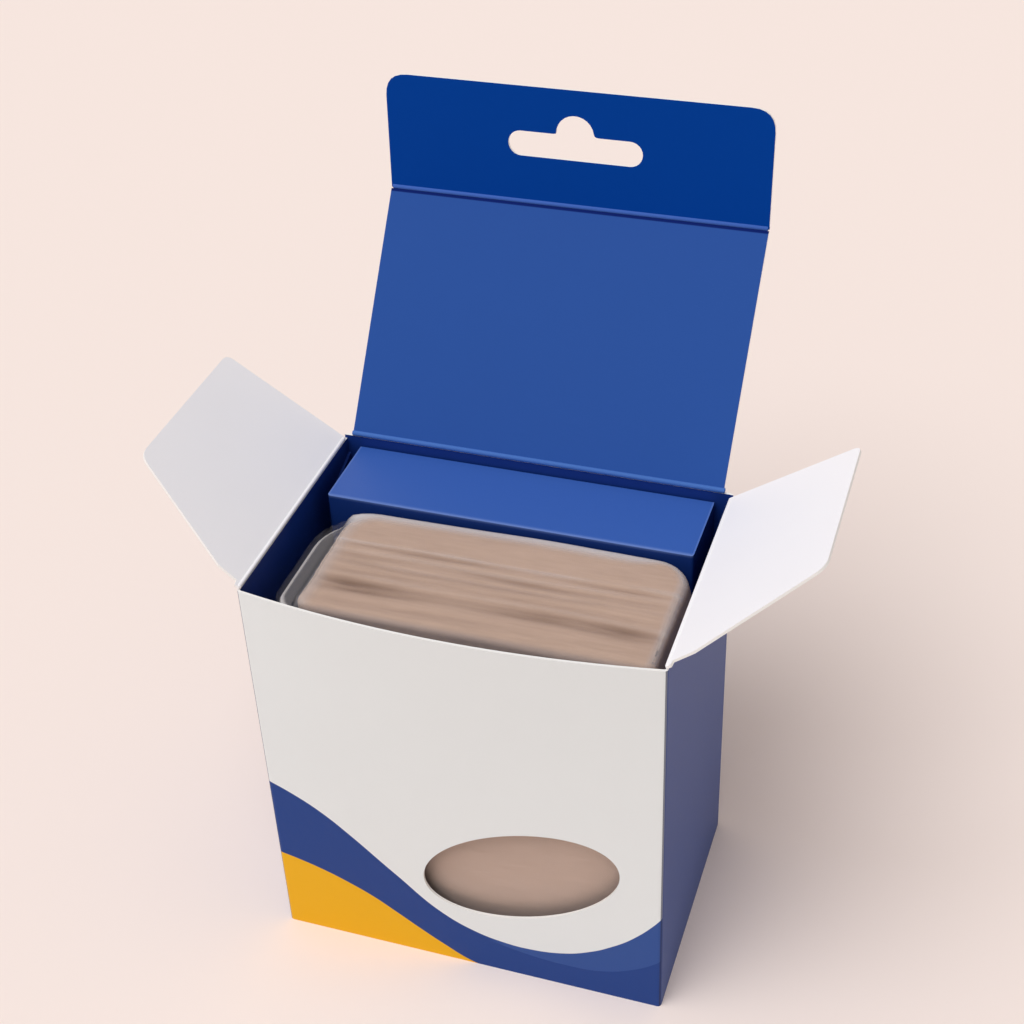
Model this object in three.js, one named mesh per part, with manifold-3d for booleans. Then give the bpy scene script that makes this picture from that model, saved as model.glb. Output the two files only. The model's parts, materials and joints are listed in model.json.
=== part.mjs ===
// Hosiery packaging box: a reverse-tuck folding carton with a hanging slot in its tuck tab, two dust
// flaps, an oval window in the front wall and a glued crash-lock floor. Inside stand a folded card
// spacer and a folded bundle of hosiery in a clear film bag.
// Millimetres. The origin is the middle of the underside, +X is to the right, +Y is to the back and
// +Z is up. The carton stands open, as it does on a counter.
import * as THREE from 'three';
import { mergeVertices } from 'three/addons/utils/BufferGeometryUtils.js';
import Module from 'manifold-3d';

const wasm = await Module();
wasm.setup();

// Carton board and outside sizes
const boardThickness = 0.6;
const cartonWidth = 95;
const cartonDepth = 61.6;
const cartonHeight = 106;
const foldRadius = 0.9;
const insideFoldRadius = 0.15;
const rimBulge = 4;
const rimBulgePower = 1.6;

// Fold lines
const foldGap = 0.35;
const flapDrop = 0.9;

// Lid and its tuck tab with the hanging slot
const lidLength = 60;
const lidSideInset = 1.8;
const lidRootTaper = 0.5;
const lidLeanAngle = 38;
const tabHeight = 28;
const tabCornerRadius = 5.5;
const tabBendAngle = 35;
const slotWidth = 32;
const slotHeight = 6;
const slotRise = 11.3;
const slotHumpWidth = 9;
const slotHumpHeight = 4.7;
const slotHumpFillet = 1.2;

// Dust flaps
const flapLength = 34;
const flapBackInset = 1.1;
const flapBackTaper = 0.6;
const flapFrontCorner = 14.6;
const flapShoulderLength = 6.1;
const flapShoulderInset = 2.6;
const flapNotchLength = 1.2;
const flapNotchStart = 0.96;
const flapNotchInset = 2;
const flapFrontRadius = 4.5;
const flapBackRadius = 2.2;
const leftFlapAngle = 34;
const rightFlapAngle = 35;

// Oval window in the front wall
const windowWidth = 50.6;
const windowHeight = 26.8;
const windowOffset = 13.9;
const windowRise = 34.8;
const windowTiltAngle = 24;

// Glue flap and crash-lock floor
const glueFlapWidth = 14;
const glueFlapTaper = 5;
const glueFlapEndInset = 4;
const floorLayers = 2;
const seamWidth = 0.5;
const seamDepth = 0.35;
const seamJog = 5;
const seamJogPlace = 13;
const seamJogRun = 6;
const seamEndInset = 3;
const glueCreaseReach = 24;
const floorInset = 0.02;

// Card spacer behind the bag
const spacerBoard = 0.5;
const spacerSideRoom = 3.6;
const spacerDepth = 20.6;
const spacerTopDrop = 2.4;
const spacerFoldRadius = 0.6;
const spacerNickRise = 0.1;
const spacerClearance = 0.4;

// Clear film bag and the folded hosiery in it
const filmThickness = 0.35;
const seatGap = 0.3;
const tuckSpace = 1.4;
const bagTopDrop = 2.3;
const bagLeftRoom = 5.9;
const bagRightRoom = 3.4;
const bagCornerRadius = 10;
const bagEdgeRadius = 4.5;
const looseFilm = 4.3;
const foldRidgeCount = 7;
const foldRidgeHeight = 0.7;
const ridgePeakShare = 0.25;
const ridgeDipShare = 0.75;

// Curve steps
const windowSteps = 56;
const beadSteps = 12;
const cornerSteps = 6;
const wallSteps = 20;
const riseSteps = 12;

// How far a joined piece reaches into its neighbour, and a cutter past what it cuts
const weldReach = 0.05;
const cutterReach = 1;

// Places that follow from the sizes
const halfWidth = cartonWidth / 2;
const halfDepth = cartonDepth / 2;
const flapWallTop = cartonHeight - flapDrop;
const beadRadius = boardThickness / 2;
const lidHinge = new THREE.Vector3(0, halfDepth - beadRadius, cartonHeight + foldGap + beadRadius);
const flapHingeX = halfWidth - beadRadius;
const flapHingeZ = flapWallTop + foldGap + beadRadius;
const floorTop = floorLayers * boardThickness;
const contentsBase = floorTop + seatGap;
const innerFront = -halfDepth + boardThickness;
const innerBack = halfDepth - boardThickness;
const innerSide = halfWidth - boardThickness;
const spacerWidth = 2 * (innerSide - spacerSideRoom);
const bagLeft = -innerSide + bagLeftRoom;
const bagRight = innerSide - bagRightRoom;
const bagFront = innerFront + tuckSpace;
const spacerBack = innerBack - spacerClearance;
const spacerFront = spacerBack - spacerDepth;
const bagBack = spacerFront - seatGap;

// Materials
const printedBoard = { color: 0xdfdbd7, roughness: 0.45, metalness: 0 };
const blueBoard = { color: 0x2a55a4, roughness: 0.5, metalness: 0 };
const darkBlueBoard = { color: 0x0b3f8e, roughness: 0.5, metalness: 0 };
const whiteBoard = { color: 0xe9e8ea, roughness: 0.6, metalness: 0 };
const knit = { color: 0xb49c8a, roughness: 0.9, metalness: 0 };
const film = { color: 0xe8e6ea, roughness: 0.15, metalness: 0, transparent: true, opacity: 0.35 };

// Solid helpers
function toSolid(geometry) {
  const bare = geometry.clone();
  for (const name of Object.keys(bare.attributes)) {
    if (name !== 'position') bare.deleteAttribute(name);
  }
  const welded = mergeVertices(bare, 1e-4);
  const mesh = new wasm.Mesh({
    numProp: 3,
    vertProperties: new Float32Array(welded.attributes.position.array),
    triVerts: new Uint32Array(welded.index.array),
  });
  return new wasm.Manifold(mesh);
}

function toGeometry(solid) {
  const mesh = solid.getMesh();
  const geometry = new THREE.BufferGeometry();
  geometry.setAttribute('position', new THREE.BufferAttribute(mesh.vertProperties, 3));
  geometry.setIndex(new THREE.BufferAttribute(mesh.triVerts, 1));
  geometry.computeVertexNormals();
  return geometry;
}

// Moves each vertex by a function that returns its new place.
function reshape(geometry, move) {
  const place = geometry.attributes.position;
  const point = new THREE.Vector3();
  for (let i = 0; i < place.count; i += 1) {
    point.fromBufferAttribute(place, i);
    move(point);
    place.setXYZ(i, point.x, point.y, point.z);
  }
  return geometry;
}

function prism(shape, height, steps = 1) {
  return new THREE.ExtrudeGeometry(shape, {
    depth: height, steps, bevelEnabled: false, curveSegments: cornerSteps,
  });
}

function block(xs, ys, zs) {
  const geometry = new THREE.BoxGeometry(xs[1] - xs[0], ys[1] - ys[0], zs[1] - zs[0]);
  return geometry.translate((xs[0] + xs[1]) / 2, (ys[0] + ys[1]) / 2, (zs[0] + zs[1]) / 2);
}

// A closed outline through the given corners, each rounded with its own radius.
function roundedOutline(corners) {
  const shape = new THREE.Shape();
  const count = corners.length;
  corners.forEach(([x, y, radius], i) => {
    const corner = new THREE.Vector2(x, y);
    const before = new THREE.Vector2(...corners[(i + count - 1) % count].slice(0, 2));
    const after = new THREE.Vector2(...corners[(i + 1) % count].slice(0, 2));
    const inward = before.sub(corner).normalize();
    const outward = after.sub(corner).normalize();
    const reach = radius / Math.tan(inward.angleTo(outward) / 2);
    const start = corner.clone().addScaledVector(inward, reach);
    const end = corner.clone().addScaledVector(outward, reach);
    if (i === 0) shape.moveTo(start.x, start.y);
    else shape.lineTo(start.x, start.y);
    if (radius > 0) shape.quadraticCurveTo(corner.x, corner.y, end.x, end.y);
  });
  shape.closePath();
  return shape;
}

// Carton walls: the plan outline is carried up in steps, and the front wall bows out towards its rim.
// A board outline with evenly stepped long sides, so that the front can be bowed.
function wallOutline(inset) {
  const x = halfWidth - inset;
  const y = halfDepth - inset;
  const radius = Math.max(foldRadius - inset, insideFoldRadius);
  const arc = cornerSteps / 2;
  const points = [];
  const corner = (cx, cy, from) => {
    for (let i = 0; i <= arc; i += 1) {
      const angle = from + (i / arc) * (Math.PI / 2);
      points.push(new THREE.Vector2(cx + radius * Math.cos(angle), cy + radius * Math.sin(angle)));
    }
  };
  corner(x - radius, y - radius, 0);
  corner(-x + radius, y - radius, Math.PI / 2);
  corner(-x + radius, -y + radius, Math.PI);
  for (let i = 1; i < wallSteps; i += 1) {
    points.push(new THREE.Vector2(-x + radius + (i / wallSteps) * 2 * (x - radius), -y));
  }
  corner(x - radius, -y + radius, 1.5 * Math.PI);
  return points;
}

function bulgeAt(x, z) {
  const across = 1 - Math.min(1, (x / (halfWidth - foldRadius)) ** 2);
  return rimBulge * across * (z / cartonHeight) ** rimBulgePower;
}

function cartonWalls() {
  const outline = new THREE.Shape(wallOutline(0));
  outline.holes.push(new THREE.Path(wallOutline(boardThickness)));
  const walls = prism(outline, cartonHeight, riseSteps);
  return reshape(walls, (point) => {
    if (point.y < innerFront + foldRadius) point.y -= bulgeAt(point.x, point.z);
  });
}

// The side and front walls stop a little lower than the back wall, so that the dust flaps fold in
// under the lid.
function flapRelief() {
  const beyond = halfWidth + rimBulge;
  const top = cartonHeight + cutterReach;
  return block([-beyond, beyond], [-beyond, innerBack - weldReach], [flapWallTop, top]);
}

function windowCutter() {
  const oval = new THREE.Shape();
  const tilt = THREE.MathUtils.degToRad(windowTiltAngle);
  oval.absellipse(0, 0, windowWidth / 2, windowHeight / 2, 0, 2 * Math.PI, false, tilt);
  const depth = rimBulge + 4 * boardThickness;
  const cutter = new THREE.ExtrudeGeometry(oval, {
    depth, bevelEnabled: false, curveSegments: windowSteps,
  });
  cutter.rotateX(Math.PI / 2);
  return cutter.translate(windowOffset, innerFront + boardThickness, windowRise);
}

// The glue flap inside the left wall, at the back corner, with tapered ends.
function glueFlap() {
  const low = floorTop + glueFlapEndInset;
  const high = flapWallTop - glueFlapEndInset;
  const front = innerBack - glueFlapWidth;
  const outline = roundedOutline([
    [innerBack, low, 0],
    [innerBack, high, 0],
    [front, high - glueFlapTaper, 0],
    [front, low + glueFlapTaper, 0],
  ]);
  const flap = prism(outline, boardThickness + weldReach);
  // The outline is drawn in Y and Z, and its thickness runs along +X.
  const turn = new THREE.Matrix4().makeBasis(
    new THREE.Vector3(0, 1, 0), new THREE.Vector3(0, 0, 1), new THREE.Vector3(1, 0, 0),
  );
  flap.applyMatrix4(turn);
  return flap.translate(-halfWidth + boardThickness - weldReach, 0, 0);
}

// A groove of the seam's width along a line of points on the underside.
function seamGroove(points) {
  const half = seamWidth / 2;
  const sides = [[], []];
  points.forEach((point, i) => {
    const before = points[Math.max(i - 1, 0)];
    const after = points[Math.min(i + 1, points.length - 1)];
    const along = new THREE.Vector2(after[0] - before[0], after[1] - before[1]).normalize();
    sides[0].push(new THREE.Vector2(point[0] - along.y * half, point[1] + along.x * half));
    sides[1].unshift(new THREE.Vector2(point[0] + along.y * half, point[1] - along.x * half));
  });
  const groove = prism(new THREE.Shape([...sides[0], ...sides[1]]), cutterReach + seamDepth);
  return groove.translate(0, 0, -cutterReach);
}

// Crash-lock floor: the front and back floor flaps meet in a hooked seam, and a slanted crease at
// each end frees the corner that is glued to the side flap.
function cartonFloor() {
  const plate = toSolid(prism(new THREE.Shape(wallOutline(floorInset)), floorTop));
  const end = halfWidth - seamEndInset;
  const hooked = [
    [-end, seamJog],
    [seamJogPlace - seamJogRun, seamJog],
    [seamJogPlace + seamJogRun, -seamJog],
    [end, -seamJog],
  ];
  const grooves = [seamGroove(hooked)];
  for (const side of [-1, 1]) {
    const corner = [side * end, side * (halfDepth - seamEndInset)];
    const inner = [side * (end - glueCreaseReach), side * (halfDepth - seamEndInset - glueCreaseReach)];
    grooves.push(seamGroove(side > 0 ? [inner, corner] : [corner, inner]));
  }
  return grooves.reduce((floor, groove) => floor.subtract(toSolid(groove)), plate);
}

function cartonBody() {
  const open = toSolid(cartonWalls()).subtract(toSolid(flapRelief()));
  const windowed = open.subtract(toSolid(windowCutter()));
  return toGeometry(windowed.add(cartonFloor()).add(toSolid(glueFlap())));
}

// A flat panel of board that turns about a rounded bead on its fold line. The outline is drawn with
// the fold along the first axis at 0 and the panel rising along the second.
function foldedPanel(outline, beadStart, beadEnd) {
  const plate = prism(outline, boardThickness).translate(0, 0, -boardThickness / 2);
  const bead = new THREE.CylinderGeometry(beadRadius, beadRadius, beadEnd - beadStart, beadSteps);
  bead.rotateZ(Math.PI / 2);
  bead.translate((beadStart + beadEnd) / 2, 0, 0);
  return toSolid(plate).add(toSolid(bead));
}

// Lid: hinged on the back wall, slightly narrower at its root.
const lidHalf = halfWidth - lidSideInset;
const lidEnd = lidLength - beadRadius - foldGap;

function lidPanel() {
  const rootHalf = lidHalf - lidRootTaper;
  const outline = roundedOutline([
    [-rootHalf, 0, 0], [rootHalf, 0, 0], [lidHalf, lidEnd, 0], [-lidHalf, lidEnd, 0],
  ]);
  return toGeometry(foldedPanel(outline, -rootHalf, rootHalf));
}

// Hanging slot: a long hole with round ends and a round hump in the middle of its upper edge.
function slotOutline() {
  const low = slotRise;
  const high = slotRise + slotHeight;
  const end = slotHeight / 2;
  const far = slotWidth / 2 - end;
  const hump = slotHumpWidth / 2;
  const humpCentre = high + slotHumpHeight - hump;
  const path = new THREE.Path();
  path.moveTo(-far, low);
  path.lineTo(far, low);
  path.absarc(far, low + end, end, -Math.PI / 2, Math.PI / 2, false);
  path.lineTo(hump + slotHumpFillet, high);
  path.quadraticCurveTo(hump, high, hump, Math.max(humpCentre, high) + slotHumpFillet / 2);
  path.absarc(0, humpCentre, hump, Math.asin(slotHumpFillet / 2 / hump), Math.PI, false);
  path.quadraticCurveTo(-hump, high, -hump - slotHumpFillet, high);
  path.lineTo(-far, high);
  path.absarc(-far, low + end, end, Math.PI / 2, 1.5 * Math.PI, false);
  return path;
}

function hangTab() {
  const outline = roundedOutline([
    [-lidHalf, 0, 0],
    [lidHalf, 0, 0],
    [lidHalf, tabHeight, tabCornerRadius],
    [-lidHalf, tabHeight, tabCornerRadius],
  ]);
  outline.holes.push(slotOutline());
  return toGeometry(foldedPanel(outline, -lidHalf, lidHalf));
}

// Dust flap, drawn for the right-hand side: the fold runs from the front to the back, the front edge
// has a shoulder and a long slant, and the back edge is nearly square to the fold.
function dustFlap(side) {
  const foldFront = -halfDepth + boardThickness;
  const foldBack = halfDepth - boardThickness - flapBackInset;
  const corners = [
    [foldFront, 0, 0],
    [foldFront, flapNotchStart, 0],
    [foldFront + flapNotchInset - boardThickness, flapNotchLength, 0],
    [foldFront + flapShoulderInset - boardThickness, flapShoulderLength, 0],
    [-flapFrontCorner, flapLength, flapFrontRadius],
    [foldBack - flapBackTaper, flapLength, flapBackRadius],
    [foldBack, 0, 0],
  ].reverse();
  const flap = toGeometry(foldedPanel(roundedOutline(corners), foldFront, foldBack));
  // The outline's first axis becomes +Y and its second points away from the carton.
  const turn = new THREE.Matrix4().makeBasis(
    new THREE.Vector3(0, 1, 0), new THREE.Vector3(side, 0, 0), new THREE.Vector3(0, 0, -side),
  );
  return flap.applyMatrix4(turn);
}

// Card spacer: a folded box with an open underside.
function spacerInsert() {
  const half = spacerWidth / 2;
  const top = cartonHeight - spacerTopDrop;
  const outline = (inset) => {
    const radius = Math.max(spacerFoldRadius - inset, 0);
    return roundedOutline([
      [-half + inset, spacerFront + inset, radius],
      [half - inset, spacerFront + inset, radius],
      [half - inset, spacerBack - inset, radius],
      [-half + inset, spacerBack - inset, radius],
    ]);
  };
  const outer = toSolid(prism(outline(0), top - contentsBase).translate(0, 0, contentsBase));
  const hollow = prism(outline(spacerBoard), top - contentsBase - spacerBoard + cutterReach);
  hollow.translate(0, 0, contentsBase - cutterReach);
  // A square bar turned onto its edge eases the fold at the top of the front and back faces.
  const foldEase = (face, outward) => {
    const bar = new THREE.BoxGeometry(spacerWidth + 2 * cutterReach, spacerFoldRadius, spacerFoldRadius);
    bar.rotateX(Math.PI / 4);
    return toSolid(bar.translate(0, face + outward * spacerNickRise, top + spacerNickRise));
  };
  const eased = outer.subtract(foldEase(spacerFront, -1)).subtract(foldEase(spacerBack, 1));
  return toGeometry(eased.subtract(toSolid(hollow)));
}

// A soft block: three prisms cut by each other give rounded corners in plan and a rounded top edge,
// with long fold ridges across the top where a ridge height is given.
function softBlock({ left, right, front, back, base, top, corner, edge, ridge }) {
  const plan = prism(roundedOutline([
    [left, front, corner], [right, front, corner], [right, back, corner], [left, back, corner],
  ]), top - base + 2 * cutterReach).translate(0, 0, base - cutterReach);
  const shoulder = top - edge;
  const below = shoulder - cutterReach;
  const wideLeft = left - cutterReach;
  const wideRight = right + cutterReach;
  const face = prism(roundedOutline([
    [wideLeft, base, 0], [wideRight, base, 0], [wideRight, below, 0], [right, shoulder, 0],
    [right, top, edge], [left, top, edge], [left, shoulder, 0], [wideLeft, below, 0],
  ]), back - front + 2 * cutterReach);
  face.rotateX(Math.PI / 2).translate(0, back + cutterReach, 0);
  const profile = new THREE.Shape();
  profile.moveTo(front, base);
  profile.lineTo(front, shoulder);
  profile.quadraticCurveTo(front, top - ridge, front + edge, top - ridge);
  const run = (back - front - 2 * edge) / foldRidgeCount;
  for (let i = 0; ridge > 0 && i < foldRidgeCount; i += 1) {
    const start = front + edge + i * run;
    const peak = start + run * ridgePeakShare;
    const dip = start + run * ridgeDipShare;
    profile.quadraticCurveTo(peak, top + ridge, (peak + dip) / 2, top - ridge / 3);
    profile.quadraticCurveTo(dip, top - ridge * 1.5, start + run, top - ridge);
  }
  profile.lineTo(back - edge, top - ridge);
  profile.quadraticCurveTo(back, top - ridge, back, shoulder);
  profile.lineTo(back, base);
  const side = prism(profile, right - left + 2 * cutterReach);
  const turn = new THREE.Matrix4().makeBasis(
    new THREE.Vector3(0, 1, 0), new THREE.Vector3(0, 0, 1), new THREE.Vector3(1, 0, 0),
  );
  side.applyMatrix4(turn).translate(left - cutterReach, 0, 0);
  return toSolid(plan).intersect(toSolid(face)).intersect(toSolid(side));
}

const bagBlock = {
  left: bagLeft,
  right: bagRight,
  front: bagFront,
  back: bagBack,
  base: contentsBase,
  top: cartonHeight - bagTopDrop,
  corner: bagCornerRadius,
  edge: bagEdgeRadius,
  ridge: 0,
};

// The same block drawn in by an inset, and further on its left by the film that hangs loose there.
function insetBlock(inset, slack, base) {
  return {
    left: bagBlock.left + inset + slack,
    right: bagBlock.right - inset,
    front: bagBlock.front + inset,
    back: bagBlock.back - inset,
    base,
    top: bagBlock.top - inset,
    corner: bagBlock.corner - inset,
    edge: bagBlock.edge - inset,
    ridge: 0,
  };
}

function filmBag() {
  const skin = softBlock(bagBlock);
  const room = softBlock(insetBlock(filmThickness, 0, contentsBase - cutterReach));
  return toGeometry(skin.subtract(room));
}

function hosieryBundle() {
  const shape = insetBlock(filmThickness + seatGap, looseFilm, contentsBase);
  shape.top -= foldRidgeHeight;
  shape.ridge = foldRidgeHeight;
  return toGeometry(softBlock(shape));
}

// Assembly
function part(name, geometry, finish) {
  const mesh = new THREE.Mesh(geometry, new THREE.MeshStandardMaterial(finish));
  mesh.name = name;
  return mesh;
}

const radians = THREE.MathUtils.degToRad;
const group = new THREE.Group();

group.add(part('carton_body', cartonBody(), printedBoard));
group.add(part('spacer_insert', spacerInsert(), blueBoard));
group.add(part('film_bag', filmBag(), film));
group.add(part('hosiery_bundle', hosieryBundle(), knit));

// Panels are drawn flat, stood on edge and turned about their fold lines.
function standUp(geometry) {
  return geometry.rotateX(Math.PI / 2);
}

const lid = new THREE.Group();
lid.position.copy(lidHinge);
lid.rotation.x = radians(-lidLeanAngle);
lid.add(part('lid_panel', standUp(lidPanel()), blueBoard));
const tab = new THREE.Group();
tab.position.z = lidLength;
tab.rotation.x = radians(tabBendAngle);
tab.add(part('hang_tab', standUp(hangTab()), darkBlueBoard));
lid.add(tab);
group.add(lid);

for (const [name, side, angle] of [['left', -1, leftFlapAngle], ['right', 1, rightFlapAngle]]) {
  const flap = part(`${name}_dust_flap`, dustFlap(side), whiteBoard);
  flap.position.set(side * flapHingeX, 0, flapHingeZ);
  flap.rotation.y = radians(-side * angle);
  group.add(flap);
}

export default group;
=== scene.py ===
"""Dresses an open hosiery carton: printed board, fold beads, a card spacer and bagged knit."""

import json
import logging
import math
from dataclasses import dataclass
from enum import Enum
from typing import Callable, Iterable, Sequence

import bmesh
import bpy
from mathutils import Matrix, Vector, noise


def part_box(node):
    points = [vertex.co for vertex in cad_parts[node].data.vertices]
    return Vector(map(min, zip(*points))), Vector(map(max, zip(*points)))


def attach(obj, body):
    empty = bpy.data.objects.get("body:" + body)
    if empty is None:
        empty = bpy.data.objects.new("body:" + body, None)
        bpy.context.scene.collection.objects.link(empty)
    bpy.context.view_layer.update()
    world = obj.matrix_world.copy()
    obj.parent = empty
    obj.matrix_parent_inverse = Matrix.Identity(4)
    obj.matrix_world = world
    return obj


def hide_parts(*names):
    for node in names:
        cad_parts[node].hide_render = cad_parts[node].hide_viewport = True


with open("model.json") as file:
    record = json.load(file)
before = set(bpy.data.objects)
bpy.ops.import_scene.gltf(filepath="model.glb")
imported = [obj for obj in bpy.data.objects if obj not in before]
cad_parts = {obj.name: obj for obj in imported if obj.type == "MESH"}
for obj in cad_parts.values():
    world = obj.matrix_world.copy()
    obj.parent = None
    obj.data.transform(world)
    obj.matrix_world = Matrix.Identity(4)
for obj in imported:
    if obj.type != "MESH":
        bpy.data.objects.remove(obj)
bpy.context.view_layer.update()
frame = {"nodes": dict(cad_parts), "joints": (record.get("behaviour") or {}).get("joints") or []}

log = logging.getLogger("carton")
MM = 0.001
TINY = 1e-7
UPRIGHT_STEPS = 8
LEVEL = 0.9

Triple = tuple[float, float, float]
Colour = Triple
Point = tuple[float, float]
Socket = bpy.types.NodeSocket


def ink(red: int, green: int, blue: int) -> Colour:
    """Turns a colour, read as 0 to 255 a channel, into the linear values a shader takes."""
    return tuple(
        (c / 255 / 12.92) if c <= 10 else ((c / 255 + 0.055) / 1.055) ** 2.4
        for c in (red, green, blue)
    )


def ramp(value: float, start: float, width: float) -> float:
    """A smooth step from 0 at start to 1 a width past it."""
    held = min(1.0, max(0.0, (value - start) / width))
    return held * held * (3 - 2 * held)


class Shader:
    """A material's node tree with short calls for the few nodes that the finishes share."""

    def __init__(self, name: str) -> None:
        """Starts an empty material of that name."""
        self.material = bpy.data.materials.new(name)
        self.material.use_nodes = True
        self.tree = self.material.node_tree
        self.tree.nodes.clear()
        self.place = self.tree.nodes.new("ShaderNodeTexCoord")

    def node(self, kind: str, **inputs: object) -> bpy.types.Node:
        """Adds a node and fills its sockets.

        Args:
            kind: the node's type name.
            inputs: socket names, with spaces as underscores, and a value or a socket to link.
        Returns:
            The new node.
        """
        made = self.tree.nodes.new(kind)
        for name, value in inputs.items():
            self.feed(made.inputs[name.replace("_", " ")], value)
        return made

    def feed(self, socket: Socket, value: object) -> None:
        """Links a socket to another, or sets its value."""
        if isinstance(value, bpy.types.NodeSocket):
            self.tree.links.new(value, socket)
        elif isinstance(value, tuple) and socket.type == "RGBA":
            socket.default_value = (*value[:3], 1.0)
        else:
            socket.default_value = value

    def calc(
        self, operation: str, first: object, second: object = 0.0, clamp: bool = False,
    ) -> Socket:
        """One Math node.

        Args:
            operation: the node's operation.
            first: a number or socket.
            second: a number or socket.
            clamp: keeps the result between 0 and 1.
        Returns:
            The node's output.
        """
        made = self.tree.nodes.new("ShaderNodeMath")
        made.operation = operation
        made.use_clamp = clamp
        self.feed(made.inputs[0], first)
        self.feed(made.inputs[1], second)
        return made.outputs[0]

    def plus(self, first: object, second: object, clamp: bool = False) -> Socket:
        """Both together."""
        return self.calc("ADD", first, second, clamp)

    def less(self, first: object, second: object) -> Socket:
        """The first with the second taken off."""
        return self.calc("SUBTRACT", first, second)

    def times(self, first: object, second: object, clamp: bool = False) -> Socket:
        """One multiplied by the other."""
        return self.calc("MULTIPLY", first, second, clamp)

    def rest(self, share: object, clamp: bool = False) -> Socket:
        """What a share leaves of 1."""
        return self.calc("SUBTRACT", 1.0, share, clamp)

    def flipped(self, value: Socket) -> Socket:
        """A value with the other sign."""
        return self.times(value, -1.0)

    def size(self, value: Socket) -> Socket:
        """A value without its sign."""
        return self.calc("ABSOLUTE", value)

    def above(self, value: Socket, edge: object, soft: float) -> Socket:
        """A mask that goes from 0 to 1 as value passes edge, over a width of soft."""
        return self.plus(self.calc("DIVIDE", self.less(value, edge), soft), 0.5, clamp=True)

    def between(self, value: Socket, low: float, high: float, soft: float) -> Socket:
        """A mask that is 1 where value lies from low to high."""
        return self.times(self.above(value, low, soft), self.rest(self.above(value, high, soft)))

    def near(self, value: Socket, middle: float, reach: float) -> Socket:
        """A mask that is 1 at middle and fades to 0 a reach away from it."""
        far = self.size(self.less(value, middle))
        return self.rest(self.calc("DIVIDE", far, reach), clamp=True)

    def mix(self, share: object, first: object, second: object) -> Socket:
        """Mixes two colours."""
        made = self.tree.nodes.new("ShaderNodeMix")
        made.data_type = "RGBA"
        self.feed(made.inputs[0], share)
        self.feed(made.inputs[6], first)
        self.feed(made.inputs[7], second)
        return made.outputs[2]

    def split(self, vector: Socket) -> list[Socket]:
        """The three parts of a vector."""
        return list(self.node("ShaderNodeSeparateXYZ", Vector=vector).outputs)

    def carried(self, name: str) -> Socket:
        """A number that the piece's mesh carries at each vertex."""
        made = self.node("ShaderNodeAttribute")
        made.attribute_name = name
        return made.outputs["Fac"]

    def grain(self, scale: float, detail: float = 3.0, stretch: Triple = (1, 1, 1)) -> Socket:
        """Noise on Object coordinates.

        Args:
            scale: waves a metre.
            detail: layers of finer noise.
            stretch: a factor for each axis.
        Returns:
            The noise's value, 0 to 1.
        """
        turned = self.node(
            "ShaderNodeMapping", Vector=self.place.outputs["Object"], Scale=stretch,
        )
        made = self.node(
            "ShaderNodeTexNoise", Vector=turned.outputs[0], Scale=scale, Detail=detail,
        )
        return made.outputs["Fac"]

    def finish(
        self, colour: object, height: Socket | None = None, depth: float = 0.0, **values: object,
    ) -> bpy.types.Material:
        """Adds the surface shader, with a bump, and joins it to the output.

        Args:
            colour: a colour or socket.
            height: the bump's height field, or None.
            depth: the bump's distance in metres.
            values: further sockets of the surface shader.
        Returns:
            The material.
        """
        surface = self.node("ShaderNodeBsdfPrincipled", Base_Color=colour, **values)
        if height is not None:
            bump = self.node("ShaderNodeBump", Height=height, Strength=1.0, Distance=depth)
            self.feed(surface.inputs["Normal"], bump.outputs[0])
        ending = self.node("ShaderNodeOutputMaterial", Surface=surface.outputs[0])
        ending.is_active_output = True
        return self.material


@dataclass(frozen=True)
class Board:
    """The paper side of the carton board: fibres, faint mottling and a satin varnish."""

    raw: Colour = ink(241, 240, 237)
    varnish: float = 0.42
    fibre_scale: float = 2600.0
    fibre_stretch: Triple = (1.0, 1.0, 0.5)
    fibre_depth: float = 0.012
    broad_scale: float = 330.0
    broad_share: float = 1.2
    mottle_scale: float = 55.0
    mottle_share: float = 0.1
    mottle_shade: Colour = (0.86, 0.86, 0.86)

    def mottled(self, shader: Shader, colour: object) -> Socket:
        """Varies a colour a little over the sheet."""
        spots = shader.above(shader.grain(self.mottle_scale, 4.0), 0.5, 0.5)
        shade = shader.mix(1.0, colour, self.mottle_shade)
        shade.node.blend_type = "MULTIPLY"
        return shader.mix(shader.times(spots, self.mottle_share), colour, shade)

    def surface(
        self, shader: Shader, colour: Socket, roughness: float, gloss: float,
    ) -> bpy.types.Material:
        """The board in one colour field, with a relief of fibres along its grain.

        Args:
            shader: the tree that it ends.
            colour: the colour field.
            roughness: how matt it is.
            gloss: how strongly it reflects.
        Returns:
            The material.
        """
        fine = shader.grain(self.fibre_scale, 2.0, self.fibre_stretch)
        broad = shader.grain(self.broad_scale, 2.0)
        height = shader.plus(fine, shader.times(broad, self.broad_share))
        return shader.finish(
            colour, height, self.fibre_depth * MM, Roughness=roughness, Specular_IOR_Level=gloss,
        )


@dataclass(frozen=True)
class FacesAt:
    """Which faces a mask takes: those that face its way and lie past a place."""

    least_facing: float
    past: float
    facing_fade: float = 0.05
    crisp: float = 0.12

    def mask(self, shader: Shader, facing: Socket, place: Socket) -> Socket:
        """The mask.

        Args:
            shader: the tree that it goes in.
            facing: the normal's part along the way that the faces face.
            place: the place along that way, in metres.
        Returns:
            1 on the faces and 0 elsewhere.
        """
        turned = shader.above(facing, self.least_facing, self.facing_fade)
        return shader.times(turned, shader.above(place, self.past * MM, self.crisp * MM))


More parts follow.
